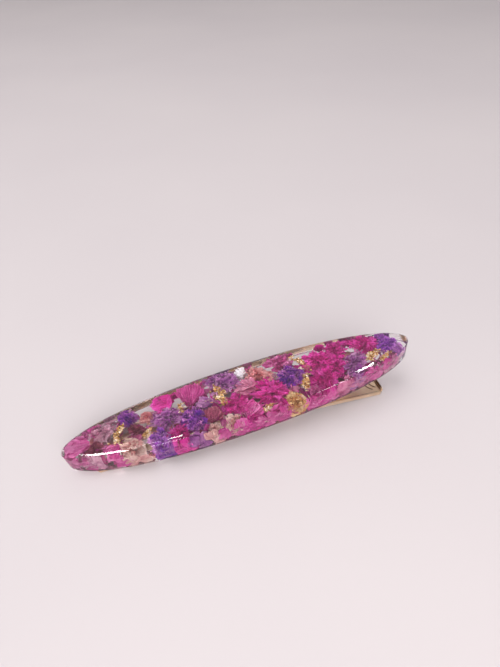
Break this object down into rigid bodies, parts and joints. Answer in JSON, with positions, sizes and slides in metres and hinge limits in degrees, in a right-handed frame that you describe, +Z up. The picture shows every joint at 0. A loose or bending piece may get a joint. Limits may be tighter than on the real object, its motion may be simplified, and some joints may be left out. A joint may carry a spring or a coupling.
{
  "type": "flower hair clip",
  "caption": "Alligator hair clip with a long oval bar of clear resin on its back, holding dried florets and gold leaf; the sprung jaw opens when the thumb lever is pressed.",
  "frame": {"origin": "centre of the bounding box, on the surface the clip rests on", "axes": "+X along the bar towards the thumb lever, +Y across the bar, +Z up, with the closed clip lying on its jaw tip and lever"},
  "size_m": [0.0837, 0.017, 0.0143],
  "materials": {
    "resin": "clear cast epoxy, glossy",
    "magenta": "dyed dried petal, matte",
    "pink": "dyed dried petal, matte",
    "lilac": "dyed dried petal, matte",
    "violet": "dyed dried petal, matte",
    "mauve": "dyed dried petal, matte",
    "plum": "dyed dried stem and petal, matte",
    "salmon": "dyed dried petal, matte",
    "cream": "dried petal, matte",
    "white": "bleached dried petal, matte",
    "gold_leaf": "crumpled leaf, bright",
    "glue": "cured glue, glossy",
    "clip_metal": "pale gold plated steel, satin",
    "spring_steel": "drawn wire, satin"
  },
  "bodies": {
    "lower_jaw": {"lower_arm": "clip_metal"},
    "bar_and_upper_arm": {"resin_front_pour": "resin", "resin_back_pour": "resin", "fan_petal_end_left": "pink", "bud_wine_end": "plum", "floret_mauve_end": "mauve", "petal_pink_front_left": "pink", "floret_violet_left": "violet", "petal_plum_left": "plum", "floret_cream_left": "cream", "bud_salmon": "salmon", "floret_purple_front": "violet", "petal_magenta_rear": "magenta", "floret_lilac_left": "lilac", "floret_magenta_front": "magenta", "fan_petal_rear": "pink", "floret_violet_mid": "violet", "petal_lilac_mid": "lilac", "floret_cream_front": "cream", "sprig_wine": "plum", "floret_grey_lilac": "lilac", "bud_cream": "cream", "floret_magenta_mid": "magenta", "petal_mauve_mid": "mauve", "petal_lilac_front": "lilac", "petal_white_rear": "white", "floret_salmon_rear": "salmon", "floret_magenta_heart": "magenta", "floret_pink_rear": "pink", "floret_violet_right": "violet", "floret_cream_right": "cream", "petal_pink_front_right": "pink", "petal_magenta_low": "magenta", "floret_magenta_right": "magenta", "floret_magenta_core": "magenta", "floret_magenta_rear": "magenta", "floret_lilac_front": "lilac", "floret_lilac_right": "lilac", "floret_magenta_tip": "magenta", "floret_violet_tip": "violet", "gold_flake_left": "gold_leaf", "gold_flake_front_left": "gold_leaf", "gold_flake_left_mid": "gold_leaf", "gold_flake_mid": "gold_leaf", "gold_flake_front_mid": "gold_leaf", "gold_flake_rear": "gold_leaf", "gold_flake_mid_right": "gold_leaf", "gold_flake_right": "gold_leaf", "gold_flake_right_front": "gold_leaf", "glue_bed": "glue", "upper_arm": "clip_metal", "hinge_pin": "clip_metal", "torsion_spring": "spring_steel"}
  },
  "joints": [
    {"name": "jaw_hinge", "type": "hinge", "parent": "lower_jaw", "child": "bar_and_upper_arm", "pos_m": [0.01041, 0, 0.00368], "axis": [0, 1, 0], "range_deg": [0, 16], "stiffness_Nm_per_rad": 0.11, "springref_deg": -25.78, "deforming": ["torsion_spring"]}
  ]
}
